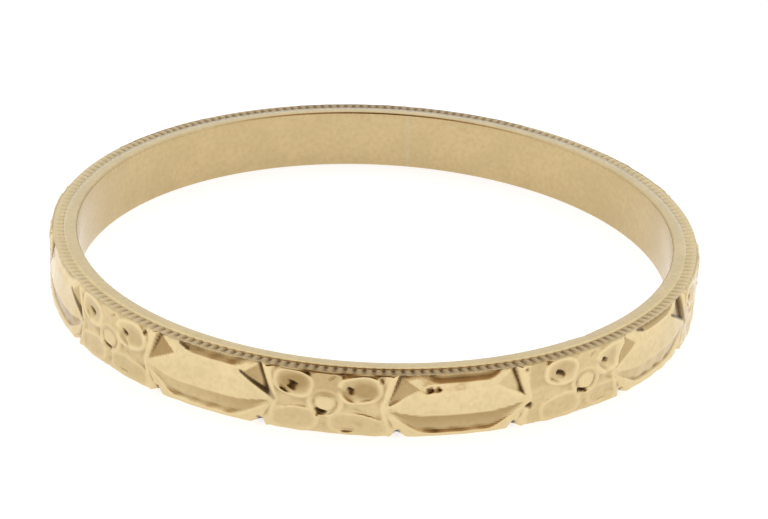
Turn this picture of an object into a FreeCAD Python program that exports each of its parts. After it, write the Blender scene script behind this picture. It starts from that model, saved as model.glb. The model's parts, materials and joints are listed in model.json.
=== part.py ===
import FreeCAD, Part
import math
import os

import Sketcher
from FreeCAD import Placement, Rotation, Vector

# A die-struck wedding band, lying on its side: a strip of gold with a pattern of four-petal
# blossoms and boat-shaped panels, bent round into a ring and soldered shut at the back.
# Units are millimetres and degrees. The axis of the finger hole is Z, and the origin is the
# middle of the hole at half width. A blossom faces -Y, and the solder joint is on +Y.

SIZES = {
    # the plain strip: walls are measured outwards from the finger hole
    "bore_dia": 16.9,
    "band_width": 1.8,
    "edge_break": 0.06,
    "rim_wall": 0.33,
    "field_wall": 0.55,
    "ledge_drop": 0.1,
    "joint_gap": 0.1,
    # milgrain: the row of small studs that stands on the ledge at each outer corner
    "bead_count": 228,
    "bead_root_dia": 0.2,
    "bead_top_dia": 0.12,
    "bead_wall": 0.435,
    # raised blocks of the pattern, with a notch between one and the next
    "block_wall": 0.62,
    "block_margin": 0.13,
    "block_slope": 0.06,
    "notch_angle": 1.4,
    # blossoms
    "blossom_count": 9,
    "blossom_angle": 24,
    "petal_wall": 0.76,
    "petal_length": 1.66,
    "petal_width": 0.74,
    "petal_depth": 0.56,
    "petal_out": 0.88,
    "petal_up": 0.36,
    "petal_tilt": 11,
    "dish_dia": 0.52,
    "dish_depth": 0.1,
    "button_wall": 0.74,
    "button_dia": 0.5,
    "button_ring_dia": 0.76,
    "button_ring_thickness": 0.2,
    # boat-shaped panels
    "boat_angle": 18,
    "boat_wall": 0.75,
    "boat_edge_wall": 0.64,
    "boat_length": 3.4,
    "boat_shoulder": 2.1,
    "boat_foot": 1.7,
    "boat_top": 0.33,
    "boat_ridge_drop": 0.24,
    "boat_bottom": 0.7,
    "boat_tip_drop": 0.12,
    "boat_tip_width": 0.1,
    "scallop_wall": 0.56,
    "scallop_chord": 2.1,
    "scallop_depth": 0.18,
}

BORE_RADIUS = "(sizes.bore_dia / 2)"
HALF_WIDTH = "(sizes.band_width / 2)"
BLOCK_EDGE = "(sizes.band_width / 2 - sizes.block_margin)"
PITCH_ANGLE = "(sizes.blossom_angle + sizes.boat_angle)"
TOWARDS_FRONT = Rotation(Vector(0, 0, 1), -90)
OUT_OF_FRONT = Rotation(Vector(1, 0, 0), 90)
CLEAR = 1.0


def out_to(wall):
    """Expression for the radius at which a named wall ends."""
    return f"({BORE_RADIUS} + sizes.{wall})"


def driving_sizes(doc):
    """The spreadsheet that holds every driving dimension."""
    sheet = doc.addObject("Spreadsheet::Sheet", "sizes")
    for row, (alias, value) in enumerate(SIZES.items(), start=1):
        sheet.set(f"A{row}", alias)
        sheet.set(f"B{row}", str(value))
        sheet.setAlias(f"B{row}", alias)
    doc.recompute()
    return sheet


def add(doc, kind, name, sizes=None, **properties):
    """A new document object, with plain properties set and its sizes bound to the sheet."""
    item = doc.addObject(kind, name)
    for key, value in properties.items():
        setattr(item, key, value)
    for key, expression in (sizes or {}).items():
        item.setExpression(key, expression)
    return item


def outline(doc, name, corners):
    """A closed sketch of straight lines on the XZ plane, its corners placed by expressions."""
    sketch = add(doc, "Sketcher::SketchObject", name, Placement=Placement(Vector(), OUT_OF_FRONT))
    places = [Vector(sketch.evalExpression(x), sketch.evalExpression(z)) for x, z in corners]
    for place, following in zip(places, places[1:] + places[:1]):
        sketch.addGeometry(Part.LineSegment(place, following))
    for index, (x, z) in enumerate(corners):
        following = (index + 1) % len(corners)
        sketch.addConstraint(Sketcher.Constraint("Coincident", index, 2, following, 1))
        across = Sketcher.Constraint("DistanceX", -1, 1, index, 1, places[index].x)
        sketch.setExpression(f"Constraints[{sketch.addConstraint(across)}]", x)
        along = Sketcher.Constraint("DistanceY", -1, 1, index, 1, places[index].y)
        sketch.setExpression(f"Constraints[{sketch.addConstraint(along)}]", z)
    return sketch


def revolved(doc, name, section, angle):
    """A section of the band swept about the ring's axis, its middle facing -Y."""
    return add(
        doc, "Part::Revolution", name, {"Angle": angle},
        Source=section, Axis=Vector(0, 0, 1), Solid=True, Symmetric=True,
        Placement=Placement(Vector(), TOWARDS_FRONT),
    )


def plain_strip(doc):
    """The strip under the pattern: eased inner edges, flat rims and a ledge outside each rim."""
    inner, rim, field = BORE_RADIUS, out_to("rim_wall"), out_to("field_wall")
    wall_end = f"({HALF_WIDTH} - sizes.edge_break)"
    ledge = f"({HALF_WIDTH} - sizes.ledge_drop)"
    upper = [
        (inner, wall_end), (out_to("edge_break"), HALF_WIDTH), (rim, HALF_WIDTH),
        (rim, ledge), (field, ledge),
    ]
    lower = [(radius, f"-1 * {height}") for radius, height in reversed(upper)]
    section = outline(doc, "strip_section", upper + lower)
    return revolved(doc, "strip", section, "360")


def milgrain(doc, sheet):
    """Both rows of beads, as tapered studs on the ledges, with none centred on the joint."""
    pitch = 2 * math.pi / sheet.bead_count
    radius = sheet.bore_dia / 2 + sheet.bead_wall
    root = sheet.band_width / 2 - 2 * sheet.ledge_drop
    root_radius, top_radius = sheet.bead_root_dia / 2, sheet.bead_top_dia / 2
    beads = []
    for index in range(int(sheet.bead_count)):
        turn = (index + 0.5) * pitch
        for side in (-1, 1):
            foot = Vector(radius * math.sin(turn), radius * math.cos(turn), side * root)
            beads.append(
                Part.makeCone(
                    root_radius, top_radius, 2 * sheet.ledge_drop, foot, Vector(0, 0, side)
                )
            )
    return add(doc, "Part::Feature", "milgrain", Shape=Part.makeCompound(beads))


def pattern_block(doc, name, angle):
    """One raised block of the strip, with sloping upper and lower edges."""
    root, face = out_to("rim_wall"), out_to("block_wall")
    shoulder = f"({BLOCK_EDGE} - sizes.block_slope)"
    section = outline(
        doc, f"{name}_section",
        [
            (root, BLOCK_EDGE), (face, shoulder),
            (face, f"-1 * {shoulder}"), (root, f"-1 * {BLOCK_EDGE}"),
        ],
    )
    return revolved(doc, name, section, f"sizes.{angle} - sizes.notch_angle")


def petal(doc, name, right, up):
    """A puffed petal on one side of the button, leaning so that it points at the button."""
    centre_wall = f"({out_to('petal_wall')} - sizes.petal_depth / 2)"
    return add(
        doc, "Part::Ellipsoid", name,
        {
            "Radius1": "sizes.petal_width / 2",
            "Radius2": "sizes.petal_length / 2",
            "Radius3": "sizes.petal_depth / 2",
            "Placement.Base.x": f"{right} * sizes.petal_out",
            "Placement.Base.y": f"-1 * sqrt({centre_wall} ^ 2 - sizes.petal_out ^ 2)",
            "Placement.Base.z": f"{up} * sizes.petal_up",
            "Placement.Rotation.Angle": f"{-right * up} * sizes.petal_tilt",
        },
        Placement=Placement(Vector(), Rotation(Vector(0, 1, 0), 1)),
    )


def dish(doc, name, right, up):
    """The ball that presses a hollow into one petal."""
    ball = "((sizes.dish_dia ^ 2 / 4 + sizes.dish_depth ^ 2) / (2 * sizes.dish_depth))"
    centre_wall = f"({out_to('petal_wall')} - sizes.dish_depth + {ball})"
    return add(
        doc, "Part::Sphere", name,
        {
            "Radius": ball,
            "Placement.Base.x": f"{right} * sizes.petal_out * {centre_wall} / {out_to('petal_wall')}",
            "Placement.Base.y": f"-1 * sqrt({centre_wall} ^ 2 - sizes.petal_out ^ 2)",
            "Placement.Base.z": f"{up} * sizes.petal_up",
        },
    )


def blossom(doc):
    """Four dished petals round a button, on a raised block."""
    corners = [(right, up) for right in (-1, 1) for up in (-1, 1)]
    block = pattern_block(doc, "blossom_block", "blossom_angle")
    petals = [petal(doc, f"petal_{n}", *corner) for n, corner in enumerate(corners, start=1)]
    dishes = [dish(doc, f"dish_{n}", *corner) for n, corner in enumerate(corners, start=1)]
    puffed = add(doc, "Part::MultiFuse", "puffed_blossom", Shapes=[block, *petals])
    hollows = add(doc, "Part::MultiFuse", "petal_hollows", Shapes=dishes)
    dished = add(doc, "Part::Cut", "dished_blossom", Base=puffed, Tool=hollows)
    button = add(
        doc, "Part::Cylinder", "button",
        {
            "Radius": "sizes.button_dia / 2",
            "Height": "sizes.button_wall - sizes.rim_wall",
            "Placement.Base.y": f"-1 * {out_to('rim_wall')}",
        },
        Placement=Placement(Vector(), OUT_OF_FRONT),
    )
    collar = add(
        doc, "Part::Torus", "button_ring",
        {
            "Radius1": "sizes.button_ring_dia / 2",
            "Radius2": "sizes.button_ring_thickness / 2",
            "Placement.Base.y": f"-1 * ({out_to('button_wall')} - sizes.button_ring_thickness / 2)",
        },
        Placement=Placement(Vector(), OUT_OF_FRONT),
    )
    return add(doc, "Part::MultiFuse", "blossom", Shapes=[dished, button, collar])


def boat(doc):
    """The long faceted boat of a panel: a ridged bar trimmed to a pointed outline."""
    root, edge, ridge = out_to("rim_wall"), out_to("boat_edge_wall"), out_to("boat_wall")
    roof = outline(
        doc, "boat_section",
        [
            (root, "sizes.boat_top"), (edge, "sizes.boat_top"),
            (ridge, "-1 * sizes.boat_ridge_drop"),
            (edge, "-1 * sizes.boat_bottom"), (root, "-1 * sizes.boat_bottom"),
        ],
    )
    bar = revolved(doc, "boat_bar", roof, "sizes.blossom_angle")
    tip = "sizes.boat_length / 2"
    tip_top = "(sizes.boat_tip_width / 2 - sizes.boat_tip_drop)"
    tip_bottom = "-1 * (sizes.boat_tip_width / 2 + sizes.boat_tip_drop)"
    right = [
        ("sizes.boat_shoulder / 2", "sizes.boat_top"), (tip, tip_top),
        (tip, tip_bottom), ("sizes.boat_foot / 2", "-1 * sizes.boat_bottom"),
    ]
    left = [(f"-1 * {x}", z) for x, z in reversed(right)]
    trim = add(
        doc, "Part::Extrusion", "boat_trim", {"LengthFwd": f"{out_to('boat_wall')} + {CLEAR}"},
        Base=outline(doc, "boat_outline", right + left), DirMode="Normal", Solid=True,
    )
    return add(doc, "Part::Common", "boat", Base=bar, Tool=trim)


def scallop(doc, name, up):
    """The disc that takes a shallow crescent out of one long edge of a panel."""
    disc = "((sizes.scallop_chord ^ 2 / 4 + sizes.scallop_depth ^ 2) / (2 * sizes.scallop_depth))"
    return add(
        doc, "Part::Cylinder", name,
        {
            "Radius": disc,
            "Placement.Base.y": f"-1 * {out_to('scallop_wall')}",
            "Placement.Base.z": f"{up} * ({BLOCK_EDGE} - sizes.scallop_depth + {disc})",
        },
        Height=CLEAR, Placement=Placement(Vector(), OUT_OF_FRONT),
    )


def panel(doc):
    """A boat on its raised block, with a scallop cut above it and below it."""
    block = pattern_block(doc, "panel_block", "boat_angle")
    cuts = [scallop(doc, "upper_scallop", 1), scallop(doc, "lower_scallop", -1)]
    crescents = add(doc, "Part::MultiFuse", "scallops", Shapes=cuts)
    scalloped = add(doc, "Part::Cut", "scalloped_block", Base=block, Tool=crescents)
    return add(doc, "Part::MultiFuse", "panel", Shapes=[scalloped, boat(doc)])


def repeated(doc, motif, count):
    """Copies of a motif, one pattern pitch apart and centred on the front of the ring."""
    return [
        add(
            doc, "App::Link", f"{motif.Name}_{index + 1}",
            {"Placement.Rotation.Angle": f"{index - (count - 1) / 2} * {PITCH_ANGLE}"},
            LinkedObject=motif, Placement=Placement(Vector(), Rotation(Vector(0, 0, 1), 1)),
        )
        for index in range(count)
    ]


def joint_slot(doc):
    """The narrow slot between the two ends of the bent strip."""
    return add(
        doc, "Part::Box", "joint_slot",
        {
            "Length": "sizes.joint_gap",
            "Width": f"sizes.petal_wall + {2 * CLEAR}",
            "Height": f"sizes.band_width + {2 * CLEAR}",
            "Placement.Base.x": "-1 * sizes.joint_gap / 2",
            "Placement.Base.y": f"{BORE_RADIUS} - {CLEAR}",
            "Placement.Base.z": f"-1 * {HALF_WIDTH} - {CLEAR}",
        },
    )


def build(doc):
    """The two pieces of the ring: the patterned strip and the solder that closes it."""
    sheet = driving_sizes(doc)
    strip = plain_strip(doc)
    slot = joint_slot(doc)
    count = int(sheet.blossom_count)
    motifs = repeated(doc, blossom(doc), count) + repeated(doc, panel(doc), count - 1)
    ring = add(doc, "Part::MultiFuse", "ring", Shapes=[strip, milgrain(doc, sheet), *motifs])
    band = add(doc, "Part::Cut", "patterned_band", Base=ring, Tool=slot)
    seam = add(doc, "Part::Common", "solder_seam", Base=strip, Tool=slot)
    doc.recompute()
    return [band, seam]


def check(doc, pieces):
    """Stop if an object failed to compute, or if a piece isn't one valid closed solid."""
    for item in doc.Objects:
        if "Invalid" in item.State or "Error" in item.State:
            raise RuntimeError(f"{item.Label} failed: {item.State}")
    for piece in pieces:
        shape = piece.Shape
        if shape.isNull() or not shape.isValid() or len(shape.Solids) != 1:
            raise RuntimeError(f"{piece.Label} isn't one valid solid")
        print(f"{piece.Label}: {len(shape.Faces)} faces, {shape.Volume:.4f} mm3")


def write(pieces):
    os.makedirs("parts", exist_ok=True)
    for piece in pieces:
        piece.Shape.exportStep(f"parts/{piece.Label}.step")


document = FreeCAD.newDocument("wedding_band")
band_pieces = build(document)
check(document, band_pieces)
write(band_pieces)
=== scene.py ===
import json
import math

import bpy
import numpy as np
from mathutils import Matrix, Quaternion, Vector

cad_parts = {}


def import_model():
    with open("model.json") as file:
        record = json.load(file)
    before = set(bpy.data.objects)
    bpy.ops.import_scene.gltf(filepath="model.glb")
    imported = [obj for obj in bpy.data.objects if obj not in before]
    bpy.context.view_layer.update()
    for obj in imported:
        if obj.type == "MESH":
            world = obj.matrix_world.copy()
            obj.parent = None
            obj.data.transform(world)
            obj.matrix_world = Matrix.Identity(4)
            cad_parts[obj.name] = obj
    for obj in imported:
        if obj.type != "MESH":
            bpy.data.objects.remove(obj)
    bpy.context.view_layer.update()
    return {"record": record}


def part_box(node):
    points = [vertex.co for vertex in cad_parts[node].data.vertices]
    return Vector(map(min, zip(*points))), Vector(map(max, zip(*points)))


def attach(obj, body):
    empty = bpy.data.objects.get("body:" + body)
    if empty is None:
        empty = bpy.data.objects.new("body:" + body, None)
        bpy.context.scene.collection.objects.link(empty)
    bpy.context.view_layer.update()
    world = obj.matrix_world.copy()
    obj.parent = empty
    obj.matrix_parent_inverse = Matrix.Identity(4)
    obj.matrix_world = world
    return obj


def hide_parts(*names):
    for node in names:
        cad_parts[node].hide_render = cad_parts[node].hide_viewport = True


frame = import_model()

# Shapes are worked out in millimetres and degrees, and become metres when a mesh is made.
# theta runs round the ring from the front blossom (-Y) towards +X; z is the ring's axis.
MM = 0.001
low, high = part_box("patterned_band")
MOUNTS = {mount["name"]: mount for mount in frame["record"]["mounts"]}
BORE = MOUNTS["finger_bore"]["dims"]["r_mm"]
HALF_WIDTH = high.z / MM
JOINT_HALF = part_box("solder_seam")[1].x / MM

# The pattern's heights count from the field. ARC is millimetres per degree at the face's radius.
FIELD = BORE + 0.53
FACE = BORE + 0.65
ARC = math.radians(1) * FACE

# The patterned face: its top and bottom in z, how far its edges are rounded, and their heights.
FACE_INSET = 0.015
FACE_TOP = HALF_WIDTH - FACE_INSET
FACE_BOTTOM = FACE_INSET - HALF_WIDTH
EDGE_ROUND = 0.04
UPPER_EDGE = 0.15
LOWER_EDGE = -0.12

# The flat rims: where each ends and its bead row begins, and how far the bore's edges are eased.
UPPER_RIM = BORE + 0.37
LOWER_RIM = BORE + 0.26
BORE_EASED = 0.06

BLOSSOM_ANGLE = 24.0
BOAT_ANGLE = 18.0
PITCH_ANGLE = BLOSSOM_ANGLE + BOAT_ANGLE
BLOSSOMS = [PITCH_ANGLE * k for k in range(-4, 5)]
PANELS = [PITCH_ANGLE * (k + 0.5) for k in range(-4, 4)]

# Beads on each edge, and mesh columns to a bead.
BEADS = 228
COLUMNS_PER_BEAD = 6
COLUMN_ANGLE = 360 / (BEADS * COLUMNS_PER_BEAD)


# ---------------------------------------------------------------- blending and distances

def smooth_max(a, b, k):
    """The larger of two heights, with the crease between them rounded over about k."""
    mix = np.clip(0.5 + 0.5 * (a - b) / k, 0, 1)
    return b + (a - b) * mix + k * mix * (1 - mix)


def smooth_min(a, b, k):
    """The smaller of two heights, rounded in the same way."""
    return -smooth_max(-a, -b, k)


def ramp(value, start, end):
    """0 at start, 1 at end, smooth between."""
    t = np.clip((value - start) / (end - start), 0, 1)
    return t * t * (3 - 2 * t)


def beyond(x, z, p, q):
    """Distance to the left of the line from p to q, negative to its right."""
    dx, dz = q[0] - p[0], q[1] - p[1]
    return (dx * (z - p[1]) - dz * (x - p[0])) / math.hypot(dx, dz)


def near_segment(x, z, p, q):
    """Distance from the straight stroke between p and q."""
    dx, dz = q[0] - p[0], q[1] - p[1]
    t = np.clip(((x - p[0]) * dx + (z - p[1]) * dz) / (dx * dx + dz * dz), 0, 1)
    return np.hypot(x - p[0] - t * dx, z - p[1] - t * dz)


def plane_through(x, z, a, b, c):
    """Height of the plane through three points (x, z, height)."""
    p, q, r = (np.array(point, float) for point in (a, b, c))
    normal = np.cross(q - p, r - p)
    return p[2] - (normal[0] * (x - p[0]) + normal[1] * (z - p[1])) / normal[2]


def wave(theta, count, shift):
    """A cosine with so many crests round the ring, moved back by some degrees."""
    return np.cos(np.radians(count * (theta + shift)))


def turned(x, z, centre, lean):
    """Coordinates along and across a feature that leans by some degrees."""
    turn = math.radians(lean)
    dx, dz = x - centre[0], z - centre[1]
    return dx * math.cos(turn) + dz * math.sin(turn), dz * math.cos(turn) - dx * math.sin(turn)


def hollow(x, z, centre, size, lean):
    """1 in the middle of a soft hollow, falling to 0 outside it."""
    u, v = turned(x, z, centre, lean)
    return np.exp(-((u / size[0]) ** 2) - (v / size[1]) ** 2)


GOUGE_SLOPE = 0.55


def gouge(x, z, centre, half_length, drop, lean):
    """Depth of a punch mark: its floor slopes down to a short upper wall. drop is its size in z."""
    u, v = turned(x, z, centre, lean)
    rise = np.clip(v / drop + 0.5, 0, 1)
    ends = np.clip(1 - np.abs(u / half_length) ** 3, 0, 1)
    return GOUGE_SLOPE * drop * rise * (1 - ramp(v / drop, 0.45, 0.85)) * ends


def crease(x, z, start, end, width):
    """1 along a straight crease, falling to 0 beside it."""
    return np.exp(-((near_segment(x, z, start, end) / width) ** 2))


# ---------------------------------------------------------------- the blossom

# The block: its height, and the corners of its right-hand outline. The left mirrors it.
PLATE = 0.194
WAIST, TOP_CORNER, BOTTOM_CORNER = (1.47, -0.08), (1.75, 0.9), (1.7, -0.9)
# How steeply a block's side falls, and how much less so below its waist.
WALL_SLOPE, LOWER_EASING = 1.4, 1.0

# Centre, half length and half width, lean in degrees, height.
PETALS = (
    ((-0.9, 0.5), (0.57, 0.42), -12, 0.218),
    ((0.8, 0.45), (0.62, 0.44), 8, 0.218),
    ((-0.88, -0.54), (0.7, 0.4), 8, 0.2),
    ((0.74, -0.58), (0.82, 0.36), -6, 0.192),
)
# Centre, half length and half width, lean in degrees, depth.
PETAL_HOLLOWS = (
    ((-0.9, 0.52), (0.36, 0.22), 8, 0.05),
    ((0.92, 0.42), (0.34, 0.22), -8, 0.05),
    ((-0.84, -0.5), (0.42, 0.17), 6, 0.03),
    ((0.74, -0.56), (0.5, 0.14), -4, 0.03),
)
# Start, end, width, depth.
CREASES = (
    ((0.26, 0.44), (0.68, 0.08), 0.05, 0.04),
    ((0.67, -0.12), (1.32, -0.35), 0.055, 0.013),
    ((-0.08, -0.6), (-0.14, -0.86), 0.07, 0.015),
)
# The raised ground between the two upper petals: centre, half sizes, height.
FILL_CENTRE, FILL_SIZE, FILL_HEIGHT = (-0.05, 0.55), (0.55, 0.45), 0.216
# Punch marks: centre, half length, drop, lean in degrees.
PUNCHES = (
    ((-0.95, 0.38), 0.16, 0.18, -20), ((-1.14, 0.24), 0.2, 0.1, -32),
    ((-0.21, -0.33), 0.18, 0.2, -12), ((0.53, 0.37), 0.12, 0.18, -30),
    ((1.34, 0.69), 0.06, 0.13, 10), ((0.1, 0.72), 0.13, 0.08, 30),
    ((0.52, -0.74), 0.2, 0.06, 0), ((-0.72, -0.7), 0.08, 0.05, 0),
)
BUTTON_CENTRE, BUTTON_SIZE = (-0.08, 0.01), (0.25, 0.22)
COLLAR_HEIGHT, BUTTON_HEIGHT, MOAT_DEPTH = 0.226, 0.222, 0.035
PETAL_POWER = 2.6


def petal(x, z, centre, size, lean, height):
    """A rounded petal: a raised lip round a gently crowned middle, and a steep outline."""
    u, v = turned(x, z, centre, lean)
    reach = np.abs(u / size[0]) ** PETAL_POWER + np.abs(v / size[1]) ** PETAL_POWER
    reach = reach ** (1 / PETAL_POWER)
    lip = 0.022 * np.exp(-(((reach - 0.84) / 0.12) ** 2))
    return height + 0.01 * (1 - reach**2) + lip - 0.09 * ramp(reach, 0.9, 1.14)


def button(x, z, height):
    """Sets a collar, a moat and a low domed button in the middle of the petals."""
    across, up = x - BUTTON_CENTRE[0], z - BUTTON_CENTRE[1]
    reach = np.hypot(across / BUTTON_SIZE[0], up / BUTTON_SIZE[1])
    collar = COLLAR_HEIGHT - 0.05 * ramp(np.abs(reach - 1.62), 0.1, 0.5)
    height = smooth_max(height, np.where(reach < 2.1, collar, 0), 0.012)
    moat = (MOAT_DEPTH - 0.014 * ramp(z, 0, 0.15)) * np.exp(-(((reach - 1.2) / 0.2) ** 2))
    within = BUTTON_HEIGHT + 0.014 * np.maximum(1 - reach**2, 0) - moat
    return height + (within - height) * (1 - ramp(reach, 1.45, 1.7))


def blossom(x, z, off_centre):
    """Height of a blossom over the field: four hollowed petals round a ringed button.

    off_centre is how far the punched pattern sits from the middle of its block.
    """
    side = np.abs(x)
    upper_side = beyond(side, z, TOP_CORNER, WAIST)
    lower_side = beyond(side, z, WAIST, BOTTOM_CORNER)
    outside = smooth_min(upper_side, lower_side, 0.06)
    height = PLATE + 0.04 * np.exp(-(((outside + 0.1) / 0.06) ** 2))
    x = x - off_centre
    for centre, size, lean, top in PETALS:
        height = smooth_max(height, petal(x, z, centre, size, lean, top), 0.012)
    for centre, size, lean, depth in PETAL_HOLLOWS:
        height = height - depth * hollow(x, z, centre, size, lean)
    for start, end, width, depth in CREASES:
        height = height - depth * crease(x, z, start, end, width)
    across, up = x - FILL_CENTRE[0], z - FILL_CENTRE[1]
    fill = ((across / FILL_SIZE[0]) ** 4 + (up / FILL_SIZE[1]) ** 4) ** 0.25
    height = smooth_max(height, FILL_HEIGHT - 0.1 * ramp(fill, 0.7, 1.1), 0.01)
    height = button(x, z, height)
    for centre, half_length, drop, lean in PUNCHES:
        height = height - gouge(x, z, centre, half_length, drop, lean)
    slope = WALL_SLOPE - LOWER_EASING * ramp(-z, 0.1, 0.3)
    return height - slope * np.maximum(outside, 0)


# ---------------------------------------------------------------- the boat-shaped panel

# Heights over the field, lines in z, and corners (x, z) of the right-hand half.
RIDGE = 0.22
RIDGE_LINE, RIDGE_RISE = -0.25, 0.13
UPPER_SLOPE = 0.07
BOAT_TOP, BAND_SLOPE = 0.34, 0.25
LOWER_PLATE = 0.165
ARC_LINE = -0.7
ARC_END = (0.92, ARC_LINE)
TIP = (1.88, -0.12)
WEDGE_INNER, WEDGE_TOP, WEDGE_OUTER = (0.98, 0.46), (1.5, 0.82), (1.92, -0.04)
BLOCK_TOP, BLOCK_TIP, BLOCK_FOOT = (1.6, 0.9), (1.9, -0.12), (1.46, -0.9)
LIP_LINE, LIP_CENTRE = 0.6, 0.14
# A line of painted shade in the left end of the scallop.
SCALLOP_END = ((-0.88, 0.76), (-0.6, 0.67))


def ridge_at(side):
    """Height in z of the boat's ridge, which rises towards its tips."""
    return RIDGE_LINE + RIDGE_RISE * ramp(side, 0.9, TIP[0])


def inside_facet(side, z):
    """Distance inside the lower outline of the boat."""
    return smooth_min(z - ARC_LINE, beyond(side, z, ARC_END, TIP), 0.12)


def wedge(x, z, height):
    """The corner cut beside the boat: a wall along the boat and a floor sloping to the tip."""
    side = np.abs(x)
    inner = (*WEDGE_INNER, 0.18)
    right_floor = plane_through(side, z, inner, (*WEDGE_TOP, 0.04), (*WEDGE_OUTER, 0.13))
    left_floor = plane_through(side, z, inner, (*WEDGE_TOP, 0.06), (*WEDGE_OUTER, 0.188))
    floor = np.where(x > 0, right_floor, left_floor)
    past_floor = -beyond(side, z, WEDGE_OUTER, WEDGE_INNER)
    past_wall = -beyond(side, z, WEDGE_INNER, WEDGE_TOP)
    depth = smooth_min(past_floor, past_wall, 0.04)
    return smooth_min(height, smooth_max(floor, height - 1.2 * depth, 0.01), 0.01)


def lower_facet(side, z, ridge_line):
    """The boat's lower side, cut in below the ridge down to a shallow arc."""
    cut = RIDGE - 0.15 * (ridge_line - z)
    wall = LOWER_PLATE - 0.9 * inside_facet(side, z)
    return smooth_min(smooth_max(cut, wall, 0.015), RIDGE, 0.01)


def above_lip(x, z):
    """Height above the lip of the scallop under the upper bead row; it curves up at both ends."""
    return z - LIP_LINE - 0.26 * np.abs((x - LIP_CENTRE) / 1.1) ** 6


def scallop(x, z):
    """The cove cut between its lip and the bead row."""
    over = np.clip(above_lip(x, z) / (FACE_TOP - LIP_LINE), 0, 1)
    return 0.15 - 0.45 * over * (1.05 - over) + 3.0 * np.maximum(-above_lip(x, z), 0)


def panel(x, z):
    """Height of a boat panel over the field: a ridged boat between cut wedges and a scallop."""
    side = np.abs(x)
    ridge_line = ridge_at(side)
    upper = RIDGE - UPPER_SLOPE * (z - ridge_line)
    sloped = RIDGE - UPPER_SLOPE * (BOAT_TOP - ridge_line) - BAND_SLOPE * (z - BOAT_TOP)
    above = wedge(x, z, smooth_min(upper, sloped, 0.006))
    above = smooth_min(above, scallop(x, z), 0.008)
    below = lower_facet(side, z, ridge_line)
    height = np.where(z > ridge_line, above, below)
    past_upper = beyond(side, z, BLOCK_TOP, BLOCK_TIP)
    past_lower = beyond(side, z, BLOCK_TIP, BLOCK_FOOT)
    return height - WALL_SLOPE * np.maximum(smooth_max(past_upper, past_lower, 0.05), 0)


# ---------------------------------------------------------------- the whole face

# The notch cut between two blocks at their foot: its top, height and depth, and its distance from a
# blossom's middle.
NOTCH_TOP, NOTCH_HEIGHT, NOTCH_DEPTH = -0.62, 0.23, 0.3
NOTCH_X = 1.8
# Height in z of the painted shade spot in each notch.
NOTCH_SHADE_Z = -0.72
# The face falls away slightly from here up to its top edge.
SHOULDER, SHOULDER_DROP = 0.72, 0.02


def nearest(theta, centres):
    """Signed angle from the nearest of the centres."""
    gaps = np.stack([(theta - c + 180) % 360 - 180 for c in centres])
    pick = np.abs(gaps).argmin(axis=0)
    return np.take_along_axis(gaps, pick[None], 0)[0]


def drift(theta):
    """How far each blossom's punched pattern sits off-centre: most on the second one."""
    chance = np.random.default_rng(3)
    offsets = chance.uniform(-0.12, 0.12, len(BLOSSOMS))
    offsets[BLOSSOMS.index(0)] = 0
    offsets[BLOSSOMS.index(PITCH_ANGLE)] = 0.45
    gaps = np.stack([np.abs((theta - c + 180) % 360 - 180) for c in BLOSSOMS])
    return offsets[gaps.argmin(axis=0)]


def handwork(theta, z):
    """Slight unevenness left by striking, bending and polishing by hand."""
    chance = np.random.default_rng(7)
    total = 0 * theta
    for _ in range(26):
        around = chance.integers(12, 110)
        across = chance.uniform(-5, 5)
        phase = chance.uniform(0, 2 * math.pi)
        size = 0.002 * chance.uniform(0.4, 1)
        total = total + size * np.sin(np.radians(theta) * around + across * z + phase)
    return total


def foot_notch(x_blossom, z):
    """0 at the top of the notch between two blocks to 1 at its foot, and the distance beside it."""
    return np.clip((NOTCH_TOP - z) / NOTCH_HEIGHT, 0, 1), np.abs(np.abs(x_blossom) - NOTCH_X)


# Single punch marks that other repeats don't have: theta, z, half length, drop and lean. The first
# five are like ones that the photo shows, and the others are invented.
MARKS = [
    (16.2, 0.42, 0.13, 0.11, 20), (17.5, 0.44, 0.1, 0.1, 12), (10.4, -0.13, 0.13, 0.06, -15),
    (33.5, -0.35, 0.12, 0.19, 40), (32.4, 0.7, 0.12, 0.1, 30), (-104, 0.4, 0.1, 0.08, 0),
    (76, -0.2, 0.1, 0.12, -15), (131, 0.35, 0.12, 0.1, 10), (-150, -0.4, 0.09, 0.1, 25),
]


def facet_painted_shade(theta, side, z):
    """Painted shade on the boat's lower facet: most just below the ridge, and less in four stretches."""
    below = ridge_at(side) - z
    facet = ramp(inside_facet(side, z), 0, 0.05) * ramp(below, -0.01, 0.02) * (side < TIP[0])
    facet = (0.86 - 0.32 * ramp(below, 0, 0.5)) * facet
    return facet * (1 - 0.55 * np.clip(wave(theta, 4, 30), 0, 1) ** 2)


def cut_painted_shade(theta, x, z):
    """Painted shade on the corner cuts' floors: most on left-hand ones, and in three stretches of the
    ring.
    """
    side = np.abs(x)
    cut = ramp(-beyond(side, z, WEDGE_OUTER, WEDGE_INNER), 0, 0.03)
    cut = cut * ramp(-beyond(side, z, WEDGE_INNER, WEDGE_TOP), 0, 0.03)
    cut = cut * (1 - ramp(side + 0.32 * z, 1.8, 1.9))
    stretch = np.clip(-np.sin(np.radians(3 * theta)), 0, 1)
    return cut * (0.58 - 0.17 * np.sign(x) + 0.62 * stretch)


# Places of a blossom higher than this get none of the painted shade that its low parts get.
BRIGHT_HEIGHT = 0.238


def blossom_painted_shade(theta, z):
    """Painted shade on the blossoms: most in the upper petals' hollows, and in three stretches of the
    ring.

    One of these stretches is at the front.
    """
    x = nearest(theta, BLOSSOMS) * ARC
    low_parts = np.clip((BRIGHT_HEIGHT - blossom(x, z, drift(theta))) / 0.04, 0, 1)
    front = np.clip(wave(theta, 3, 5), 0, 1)
    upper = ramp(z, 0.05, 0.3)
    petal_shade = 0.08 + (0.24 + upper * (0.2 + 0.3 * front)) * low_parts + 0.15 * front * upper
    return petal_shade * (1 - ramp(np.abs(x), 1.35, 1.5))


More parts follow.
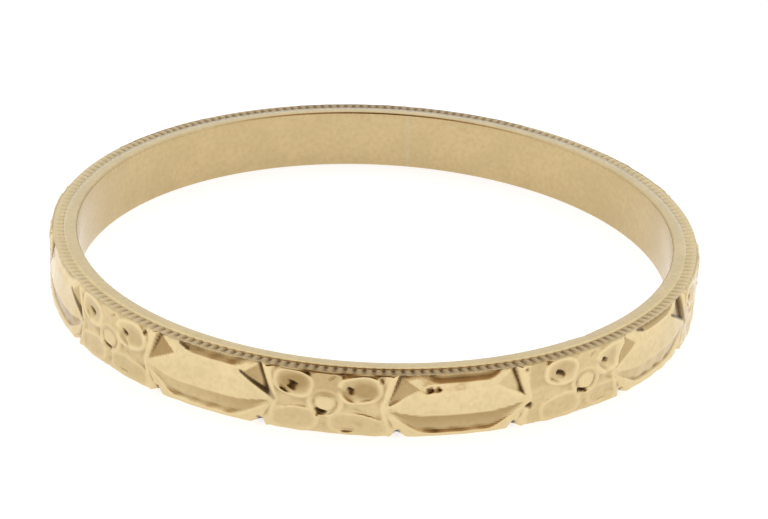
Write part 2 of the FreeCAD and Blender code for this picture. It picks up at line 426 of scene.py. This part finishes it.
def cove_painted_shade(theta, x, z):
    """Painted shade just above the scallop's lip."""
    over = above_lip(x, z)
    cove = ramp(over, 0, 0.02) * (1 - ramp(over, 0.08, 0.16)) * (np.abs(x) < 1.3)
    return cove * (0.25 + 0.55 * np.clip(wave(theta, 4, 26), 0, 1))


def face_painted_shade(theta, z):
    """How much painted shade each place of the face gets, from 0 to 1."""
    x_panel = nearest(theta, PANELS) * ARC
    struck = np.maximum(facet_painted_shade(theta, np.abs(x_panel), z), blossom_painted_shade(theta, z))
    sunk = np.maximum(cut_painted_shade(theta, x_panel, z), cove_painted_shade(theta, x_panel, z))
    return np.clip(np.maximum(struck, sunk), 0, 1)


def corner_painted_shade(theta, z):
    """Painted shade lines in the right-hand corner cuts and the scallops' left ends, and painted shade
    spots in the notches at the foot.
    """
    x = nearest(theta, PANELS) * ARC
    along = np.clip((x - WEDGE_INNER[0]) / (WEDGE_OUTER[0] - WEDGE_INNER[0]), 0, 1)
    cut = near_segment(x, z - 0.03, WEDGE_INNER, WEDGE_OUTER) / (0.045 + 0.03 * along)
    wall = near_segment(x, z, WEDGE_TOP, WEDGE_OUTER) / 0.07
    end = near_segment(x, z, *SCALLOP_END) / 0.05
    patchy = np.clip(0.55 - 0.6 * np.sin(np.radians(3 * theta)), 0, 1)
    _, beside = foot_notch(nearest(theta, BLOSSOMS) * ARC, z)
    spot = np.hypot(beside, z - NOTCH_SHADE_Z) / 0.075
    cut_shade = patchy * (1 - ramp(cut, 0.5, 1.1)) * (1 - 0.6 * ramp(along, 0.8, 1))
    end_shade = (0.45 + 0.35 * wave(theta, 4, 26)) * (1 - ramp(end, 0.4, 1.1))
    line_shade = np.maximum(cut_shade, end_shade)
    line_shade = np.maximum(line_shade, 0.6 * patchy * (1 - ramp(wall, 0.3, 1.1)))
    return np.maximum(line_shade, 0.95 * (1 - ramp(spot, 0.4, 1.1)))


def relief(theta, z):
    """Height of the pattern over the field, for matching arrays of theta and z."""
    x_blossom = nearest(theta, BLOSSOMS) * ARC
    x_panel = nearest(theta, PANELS) * ARC
    height = smooth_max(blossom(x_blossom, z, drift(theta)), panel(x_panel, z), 0.02)
    between = ramp(np.abs(x_blossom), 1.3, 1.5) * ramp(np.abs(x_panel), 1.3, 1.6)
    valley = (0.18 - 0.12 * ramp(z, -0.1, 0.1)) * (1 - ramp(np.abs(z), 0.66, 0.8)) * between
    height = smooth_max(height, valley, 0.02) + handwork(theta, z)
    for mark_theta, mark_z, half_length, drop, lean in MARKS:
        height = height - gouge((theta - mark_theta) * ARC, z, (0, mark_z), half_length, drop, lean)
    notch, beside = foot_notch(x_blossom, z)
    height = height - NOTCH_DEPTH * notch * np.clip(1 - beside / (0.05 + 0.16 * notch), 0, 1)
    height = height - SHOULDER_DROP * np.clip((z - SHOULDER) / (FACE_TOP - SHOULDER), 0, 1) ** 2
    for gap, edge_height in ((FACE_TOP - z, UPPER_EDGE), (z - FACE_BOTTOM, LOWER_EDGE)):
        edge = np.clip(gap / EDGE_ROUND, 0, 1)
        height = edge_height + (height - edge_height) * np.sqrt(edge * (2 - edge))
    return height


# ---------------------------------------------------------------- the strip's section

# A bead row's rows of points: two where it leaves the rim, then these angles over the bead.
BEAD_ARC = (158, 128, 100, 72, 48, 26, 8)
BEAD_ROWS = 2 + len(BEAD_ARC)
BEAD_HEIGHT = 0.035
# The bore's section starts and ends on the flat rims, this far inside LOWER_RIM.
RIM_STEP = 0.04
BORE_ROW = 0.3


def face_rows():
    """Heights of the rows across the face, closer together at its rounded edges."""
    eased = EDGE_ROUND * np.array([0, 0.1, 0.35, 0.7])
    middle = np.linspace(FACE_TOP - 1.3 * EDGE_ROUND, FACE_BOTTOM + 1.3 * EDGE_ROUND, 41)
    return np.concatenate([FACE_TOP - eased, middle, FACE_BOTTOM + eased[::-1]])


def bead_swell(theta):
    """1 along the middle of a bead, 0 in the gap between two beads."""
    offset = (theta / 360 * BEADS + 0.5) % 1 - 0.5
    return np.sqrt(np.clip(1 - (np.abs(offset) / 0.37) ** 2.4, 0, 1))


def bead_rows(theta, rim, edge, size):
    """Radius and z, row by row, from a flat rim over its bead row to the face's edge.

    edge is the radius of the face's edge, and size scales the beads' height.
    """
    swell = bead_swell(theta)
    centre_r, centre_z = (rim + edge) / 2, HALF_WIDTH - BEAD_HEIGHT * size
    across = (edge - rim) / 2 * (0.8 + 0.2 * swell)
    rows = [
        (rim + 0 * theta, HALF_WIDTH + 0 * theta),
        (rim + 0.008 + 0 * theta, HALF_WIDTH - 0.012 - 0.03 * size * (1 - swell)),
    ]
    for degrees in BEAD_ARC:
        turn = math.radians(degrees)
        dip = 0.065 * (1 - swell) * (0.6 - 0.4 * math.cos(turn))
        tall = (BEAD_HEIGHT - dip) * size
        rows.append((centre_r + across * math.cos(turn), centre_z + tall * math.sin(turn)))
    return rows


def outer_section(theta):
    """Radius and z, rows by columns, from the upper rim's outer edge to the lower rim's."""
    upper = bead_rows(theta, UPPER_RIM, FIELD + UPPER_EDGE, 1.0)
    lower = bead_rows(theta, LOWER_RIM, FIELD + LOWER_EDGE, 0.6)
    z_face = face_rows()[:, None] + 0 * theta[None]
    r_face = FIELD + relief(theta[None] + 0 * z_face, z_face)
    radius = np.vstack([[r for r, _ in upper], r_face, [r for r, _ in lower[::-1]]])
    z = np.vstack([[h for _, h in upper], z_face, [-h for _, h in lower[::-1]]])
    return radius, z


def inner_section():
    """Radius and z of the rows from the lower flat rim up the bore to the upper flat rim."""
    rows = [(LOWER_RIM - RIM_STEP, -HALF_WIDTH)]
    for degrees in (90, 67.5, 45, 22.5, 0):
        turn = math.radians(degrees)
        r = BORE + BORE_EASED - BORE_EASED * math.cos(turn)
        rows.append((r, -HALF_WIDTH + BORE_EASED - BORE_EASED * math.sin(turn)))
    rows.append((BORE, -BORE_ROW))
    rows = rows + [(r, -z) for r, z in reversed(rows)]
    return np.array(rows).T


def blurred(grid, reach=4):
    """The grid averaged over a few neighbours each way."""
    for axis in (0, 1):
        pad = [(reach, reach) if a == axis else (0, 0) for a in (0, 1)]
        wide = np.pad(grid, pad, mode="edge")
        count = grid.shape[axis]
        steps = [np.take(wide, range(s, s + count), axis=axis) for s in range(2 * reach + 1)]
        grid = np.mean(steps, axis=0)
    return grid


# ---------------------------------------------------------------- meshes

# How far a point lies below the average round it to be fully hollow, and above it to be fully raised.
HOLLOW_FULL, RAISED_FULL = 0.03, 0.02
# How far below it a pit starts, and how much deeper it is full.
PIT_START, PIT_RANGE = 0.028, 0.02
# The bore has no relief, and gets painted shade at half strength throughout.
BORE_SHADE = 0.5

# A small nick worn into the upper rim's inner edge: depth in mm, then degrees round the ring.
NICK_DEPTH, NICK_ANGLE, NICK_SPREAD = 0.07, 47.7, 1.4


def strip_mesh(name, theta, cut_x, proud=0.0):
    """A closed length of the strip, standing proud by some millimetres.

    cut_x is a column's x where it lies in a flat plane of constant x, and not a number elsewhere.
    """
    radius, z = outer_section(theta)
    radius = radius + proud
    inner_r, inner_z = inner_section()
    coarse = np.unique(np.r_[np.arange(0, len(theta), COLUMNS_PER_BEAD), len(theta) - 1])
    flat = ~np.isnan(cut_x)

    def placed(r, height, columns):
        """Points at these radii and heights. A flat column's points lie in its plane."""
        turn = np.radians(theta[columns])
        x = np.where(flat[columns], np.nan_to_num(cut_x[columns]), r * np.sin(turn))
        y = np.where(flat[columns], np.sqrt(r**2 - x**2), -r * np.cos(turn))
        return np.stack([x, y, height], axis=-1)

    outer_points = placed(radius, z, np.arange(len(theta)))
    upper_edge = ramp(inner_z, HALF_WIDTH - BORE_EASED, HALF_WIDTH) * (inner_r < BORE + BORE_EASED * 2)
    nick = NICK_DEPTH * np.exp(-(((theta[coarse] - NICK_ANGLE) / NICK_SPREAD) ** 2))
    nicked_r = inner_r[:, None] + upper_edge[:, None] * nick
    inner_points = placed(nicked_r, inner_z[:, None] + 0 * nick, coarse)
    outer = np.arange(radius.size).reshape(radius.shape)
    inner = radius.size + np.arange(inner_points.shape[0] * len(coarse)).reshape(-1, len(coarse))
    faces = []
    for grid in (outer, inner):
        corners = [grid[:-1, :-1], grid[1:, :-1], grid[1:, 1:], grid[:-1, 1:]]
        faces += np.stack(corners, axis=-1).reshape(-1, 4).tolist()
    for k, (a, b) in enumerate(zip(coarse[:-1], coarse[1:])):
        faces.append([inner[0, k], inner[0, k + 1], *outer[-1, a:b + 1][::-1]])
        faces.append([inner[-1, k + 1], inner[-1, k], *outer[0, a:b + 1]])
    caps = [np.r_[outer[:, 0], inner[:, 0]][::-1], np.r_[outer[:, -1], inner[:, -1]]]
    faces += [cap.tolist() for cap in caps]

    mesh = bpy.data.meshes.new(name)
    points = np.concatenate([outer_points.reshape(-1, 3), inner_points.reshape(-1, 3)])
    mesh.from_pydata((points * MM).tolist(), [], [[int(i) for i in face] for face in faces])
    mesh.shade_smooth()
    mesh.set_sharp_from_angle(angle=math.radians(70))
    add_surface_data(mesh, theta, coarse, radius, inner_r)
    piece = bpy.data.objects.new(name, mesh)
    bpy.context.scene.collection.objects.link(piece)
    return piece


def add_surface_data(mesh, theta, coarse, radius, inner_r):
    """Attributes for the material: tarnish and painted shade in hollows and cut-in faces, dark painted
    shade in pits, creases and bead gaps, raised places, and millimetres along the strip.

    A place is hollow or raised by how far it lies from the average radius round it.
    """
    difference = blurred(radius) - radius
    face = slice(BEAD_ROWS, -BEAD_ROWS)
    z = face_rows()[:, None] + 0 * theta
    gap = 1 - bead_swell(theta)
    row = np.arange(BEAD_ROWS)[:, None]
    # Painted shade on the beads and on the face's top edge under them, heavier in two stretches of the
    # ring.
    shade_weight = 0.52 + 0.48 * wave(theta, 2, -12)
    gap = gap * (0.3 + 0.7 * shade_weight)
    bead = np.clip(0.85 * shade_weight + gap * (1 - 0.8 * ramp(row, 3, 7)), 0, 1) * ramp(row, 0, 2)
    # Hollows get tarnish and painted shade by how far they lie below the average round them.
    shade_and_tarnish = np.concatenate([bead, np.clip(difference[face] / HOLLOW_FULL, 0, 1), bead[::-1]])
    edge = 0.6 * shade_weight * ramp(z, FACE_TOP - EDGE_ROUND, FACE_TOP)
    shade_and_tarnish[face] = np.maximum(shade_and_tarnish[face], np.maximum(face_painted_shade(theta + 0 * z, z), edge))
    # Pits get near-black painted shade. So do the corner and notch lines, and, more weakly, the face's
    # top edge.
    deep_shade = np.clip((difference - PIT_START) / PIT_RANGE, 0, 1)
    deep_shade[face] = np.maximum(deep_shade[face], np.maximum(0.3 * edge, corner_painted_shade(theta + 0 * z, z)))
    # Near-black painted shade in the gaps between beads.
    bead_gap_shade = 0.85 * shade_weight * gap * (1 - 0.5 * ramp(row, 3, 7)) * ramp(row, 0, 2)
    deep_shade[:BEAD_ROWS] = bead_gap_shade
    deep_shade[-BEAD_ROWS:] = bead_gap_shade[::-1]
    raised = np.clip(-difference / RAISED_FULL, 0, 1)
    bore = np.where(inner_r < BORE + 0.05, BORE_SHADE, 0)[:, None] + np.zeros(len(coarse))
    along = np.concatenate([
        np.tile(theta * ARC, radius.shape[0]), np.tile(theta[coarse] * ARC, len(inner_r))
    ])
    for label, values in (
        ("shade_and_tarnish", np.r_[shade_and_tarnish.ravel(), bore.ravel()]),
        ("raised", np.r_[raised.ravel(), 0 * bore.ravel()]),
        ("deep_shade", np.r_[deep_shade.ravel(), 0 * bore.ravel()]),
        ("along", along),
    ):
        layer = mesh.attributes.new(label, "FLOAT", "POINT")
        layer.data.foreach_set("value", values.astype(np.float32))


# Regular columns stop at least this many degrees short of the joint's middle.
END_CLEARANCE = 0.35


def band():
    """The patterned strip, from one end at the joint round to the other."""
    last = int((180 - END_CLEARANCE) / COLUMN_ANGLE)
    theta = np.arange(-last, last + 1) * COLUMN_ANGLE
    end = 180 - math.degrees(JOINT_HALF / FACE)
    theta = np.r_[-end, theta, end]
    cut_x = np.full(len(theta), np.nan)
    cut_x[0], cut_x[-1] = -JOINT_HALF, JOINT_HALF
    return strip_mesh("band", theta, cut_x)


def seam():
    """The solder between the strip's ends, filed nearly flush."""
    cut_x = np.linspace(JOINT_HALF, -JOINT_HALF, 7)
    return strip_mesh("seam", 180 - np.degrees(cut_x / FACE), cut_x, proud=0.004)


# ---------------------------------------------------------------- materials

def new_material(name):
    """A material, its nodes, its links and its main shader."""
    material = bpy.data.materials.new(name)
    material.use_nodes = True
    nodes = material.node_tree.nodes
    return material, nodes, material.node_tree.links, nodes["Principled BSDF"]


def mixed(nodes, links, factor, first, second):
    """A colour mix; factor and first may be sockets."""
    mix = nodes.new("ShaderNodeMix")
    mix.data_type = "RGBA"
    links.new(factor, mix.inputs["Factor"])
    if isinstance(first, tuple):
        mix.inputs["A"].default_value = (*first, 1)
    else:
        links.new(first, mix.inputs["A"])
    mix.inputs["B"].default_value = (*second, 1)
    return mix.outputs["Result"]


def scaled(nodes, links, value, start, end, to_start, to_end):
    """The value mapped from one range to another, clamped."""
    remap = nodes.new("ShaderNodeMapRange")
    links.new(value, remap.inputs["Value"])
    remap.inputs["From Min"].default_value = start
    remap.inputs["From Max"].default_value = end
    remap.inputs["To Min"].default_value = to_start
    remap.inputs["To Max"].default_value = to_end
    return remap.outputs["Result"]


def noise(nodes, links, place, scale, detail):
    """Noise from 0 to 1, with about as many waves to the metre as its scale says."""
    texture = nodes.new("ShaderNodeTexNoise")
    links.new(place, texture.inputs["Vector"])
    texture.inputs["Scale"].default_value = scale
    texture.inputs["Detail"].default_value = detail
    return texture.outputs["Fac"]


def bumped(nodes, links, height, depth, below=None):
    """A normal bumped by a height, depth millimetres deep, on top of the one below."""
    bump = nodes.new("ShaderNodeBump")
    bump.inputs["Strength"].default_value = 1.0
    bump.inputs["Distance"].default_value = depth * MM
    links.new(height, bump.inputs["Height"])
    if below:
        links.new(below, bump.inputs["Normal"])
    return bump.outputs["Normal"]


def attribute(nodes, name):
    """One of the numbers that add_surface_data puts on the mesh."""
    source = nodes.new("ShaderNodeAttribute")
    source.attribute_name = name
    return source.outputs["Fac"]


# Painted shade colours: brown for hollows, cut-in faces, beads and the bore, with some tarnish in the
# hollows, and near black for pits, creases and bead gaps.
SHADE_AND_TARNISH_COLOUR = (0.24, 0.125, 0.025)
DEEP_SHADE_COLOUR = (0.045, 0.021, 0.006)
# Scratches run along the strip: 30 mm of it becomes 4 mm of noise, while z keeps its size.
SCRATCH_LENGTH, SCRATCH_SPAN = 30, 0.004


def gold(name, bright, roughness):
    """Polished gold: tarnish and painted shade in the hollows, dark painted shade in pits, creases and
    bead gaps, rubbed bright on the high edges, fine wear marks.
    """
    material, nodes, links, shader = new_material(name)
    place = nodes.new("ShaderNodeTexCoord").outputs["Object"]
    split = nodes.new("ShaderNodeSeparateXYZ")
    links.new(place, split.inputs["Vector"])
    strip = nodes.new("ShaderNodeCombineXYZ")
    along = attribute(nodes, "along")
    squeezed = scaled(
        nodes, links, along, -SCRATCH_LENGTH, SCRATCH_LENGTH, -SCRATCH_SPAN, SCRATCH_SPAN
    )
    links.new(squeezed, strip.inputs["X"])
    links.new(split.outputs["Z"], strip.inputs["Z"])
    mottle = noise(nodes, links, place, 900, 1)
    bloom = noise(nodes, links, place, 7000, 2)
    grain = noise(nodes, links, place, 9000, 3)
    scratches = noise(nodes, links, strip.outputs["Vector"], 16000, 2)

    shade = tuple(0.93 * c for c in bright)
    colour = mixed(nodes, links, scaled(nodes, links, mottle, 0.35, 0.65, 0, 1), bright, shade)
    patina = tuple(0.8 * c for c in bright)
    colour = mixed(nodes, links, scaled(nodes, links, bloom, 0.4, 0.7, 0, 0.5), colour, patina)
    rubbed = tuple(min(1, 1.07 * c) for c in bright)
    # Raised places are rubbed lighter. The brown painted shade and tarnish go over the colour, then the
    # near-black painted shade.
    for label, start, most, tint in (
        ("raised", 0, 0.6, rubbed), ("shade_and_tarnish", 0.15, 0.7, SHADE_AND_TARNISH_COLOUR), ("deep_shade", 0, 0.92, DEEP_SHADE_COLOUR),
    ):
        amount = scaled(nodes, links, attribute(nodes, label), start, 1, 0, most)
        colour = mixed(nodes, links, amount, colour, tint)
    links.new(colour, shader.inputs["Base Color"])

    rough = nodes.new("ShaderNodeMath")
    rough.operation = "ADD"
    links.new(scaled(nodes, links, grain, 0.3, 0.7, roughness * 0.7, roughness * 1.4), rough.inputs[0])
    links.new(scaled(nodes, links, attribute(nodes, "shade_and_tarnish"), 0.1, 1, 0, 0.15), rough.inputs[1])
    links.new(rough.outputs[0], shader.inputs["Roughness"])

    normal = bumped(nodes, links, mottle, 0.006)
    normal = bumped(nodes, links, bloom, 0.002, normal)
    normal = bumped(nodes, links, grain, 0.0012, normal)
    normal = bumped(nodes, links, scratches, 0.0005, normal)
    links.new(normal, shader.inputs["Normal"])
    # The near-black painted shade also makes those places less metallic, which darkens them further.
    links.new(scaled(nodes, links, attribute(nodes, "deep_shade"), 0, 1, 1, 0.25), shader.inputs["Metallic"])
    shader.inputs["Specular IOR Level"].default_value = 0.12
    return material


ring = band()
ring.data.materials.append(gold("yellow_gold", (0.725, 0.585, 0.33), 0.11))
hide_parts("patterned_band")
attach(ring, "root")

joint = seam()
joint.data.materials.append(gold("gold_solder", (0.72, 0.61, 0.385), 0.16))
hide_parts("solder_seam")
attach(joint, "root")


# ---------------------------------------------------------------- floor, light and camera

# The camera looks at the origin, from a direction and with a roll in degrees, and a distance in mm.
# Its focal length and shift count in widths of the picture.
AZIMUTH, ELEVATION, ROLL = 6.25, 25.17, 2.65
DISTANCE = 8.045 * FACE
FOCAL_IN_WIDTHS = 3.329
SHIFT_X, SHIFT_Y = 0.0126, -0.0089


def direction(azimuth, elevation):
    """Unit vector towards a compass azimuth (0 is the front, -Y) and an elevation."""
    a, e = math.radians(azimuth), math.radians(elevation)
    return Vector((math.sin(a) * math.cos(e), -math.cos(a) * math.cos(e), math.sin(e)))


def floor():
    """A white light table."""
    size, level = 0.8, low.z
    mesh = bpy.data.meshes.new("floor")
    mesh.from_pydata(
        [(-size, -size, level), (size, -size, level), (size, size, level), (-size, size, level)],
        [], [(0, 1, 2, 3)],
    )
    ground = bpy.data.objects.new("floor", mesh)
    bpy.context.scene.collection.objects.link(ground)
    material, _, _, shader = new_material("light_table")
    shader.inputs["Base Color"].default_value = (0.46, 0.46, 0.46, 1)
    shader.inputs["Roughness"].default_value = 0.8
    shader.inputs["Specular IOR Level"].default_value = 0.1
    shader.inputs["Emission Color"].default_value = (1, 1, 1, 1)
    shader.inputs["Emission Strength"].default_value = 0.8
    mesh.materials.append(material)


def camera():
    """The photo's viewpoint."""
    lens = bpy.data.cameras.new("camera")
    lens.sensor_width = 36
    lens.lens = FOCAL_IN_WIDTHS * lens.sensor_width
    lens.clip_start, lens.clip_end = 0.001, 5
    lens.shift_x, lens.shift_y = SHIFT_X, SHIFT_Y
    eye = bpy.data.objects.new("camera", lens)
    back = direction(AZIMUTH, ELEVATION)
    eye.location = back * DISTANCE * MM
    eye.rotation_mode = "QUATERNION"
    aim = (-back).to_track_quat("-Z", "Y")
    eye.rotation_quaternion = aim @ Quaternion((0, 0, 1), math.radians(ROLL))
    bpy.context.scene.collection.objects.link(eye)
    bpy.context.scene.camera = eye


def patch(nodes, links, centre, stops):
    """A round soft patch on the surround: colours by degrees from its centre."""
    towards = nodes.new("ShaderNodeVectorMath")
    towards.operation = "DOT_PRODUCT"
    links.new(nodes.new("ShaderNodeTexCoord").outputs["Generated"], towards.inputs[0])
    towards.inputs[1].default_value = centre
    shade = nodes.new("ShaderNodeValToRGB")
    links.new(towards.outputs["Value"], shade.inputs["Fac"])
    elements = shade.color_ramp.elements
    while len(elements) < len(stops):
        elements.new(0.5)
    for element, (degrees, colour) in zip(elements, sorted(stops, reverse=True)):
        element.position = max(0, math.cos(math.radians(degrees)))
        element.color = (*colour, 1)
    return shade.outputs["Color"]


def world():
    """A white tent, open in front where the dark camera and a warm, dim room show through.

    Each patch lies in a fixed direction of the world, and doesn't follow the camera.
    """
    surround = bpy.data.worlds.new("surround")
    surround.use_nodes = True
    bpy.context.scene.world = surround
    nodes, links = surround.node_tree.nodes, surround.node_tree.links
    background = nodes["Background"]
    room = patch(nodes, links, direction(AZIMUTH, 45), (
        (90, (1.0, 1.0, 1.0)), (60, (0.97, 0.96, 0.94)), (47, (0.76, 0.66, 0.56)),
        (34, (0.42, 0.28, 0.17)), (0, (0.24, 0.14, 0.07)),
    ))
    far_wall = patch(nodes, links, direction(AZIMUTH + 180, 24), (
        (90, (1.0, 1.0, 1.0)), (45, (0.95, 0.96, 0.97)), (25, (0.82, 0.82, 0.84)),
        (0, (0.8, 0.8, 0.82)),
    ))
    lens = patch(nodes, links, direction(AZIMUTH, ELEVATION), (
        (90, (1.0, 1.0, 1.0)), (22, (1.0, 1.0, 1.0)), (12, (0.3, 0.28, 0.25)),
        (8, (0.03, 0.03, 0.03)), (0, (0.02, 0.02, 0.02)),
    ))
    colour = room
    for layer in (lens, far_wall):
        product = nodes.new("ShaderNodeMix")
        product.data_type = "RGBA"
        product.blend_type = "MULTIPLY"
        product.inputs["Factor"].default_value = 1
        links.new(colour, product.inputs["A"])
        links.new(layer, product.inputs["B"])
        colour = product.outputs["Result"]
    # What the camera sees past the ring is plain white.
    plain = nodes.new("ShaderNodeMix")
    plain.data_type = "RGBA"
    links.new(nodes.new("ShaderNodeLightPath").outputs["Is Camera Ray"], plain.inputs["Factor"])
    links.new(colour, plain.inputs["A"])
    plain.inputs["B"].default_value = (1, 1, 1, 1)
    links.new(plain.outputs["Result"], background.inputs["Color"])
    background.inputs["Strength"].default_value = 1.15


floor()
camera()
world()
bpy.context.scene.view_settings.view_transform = "Standard"
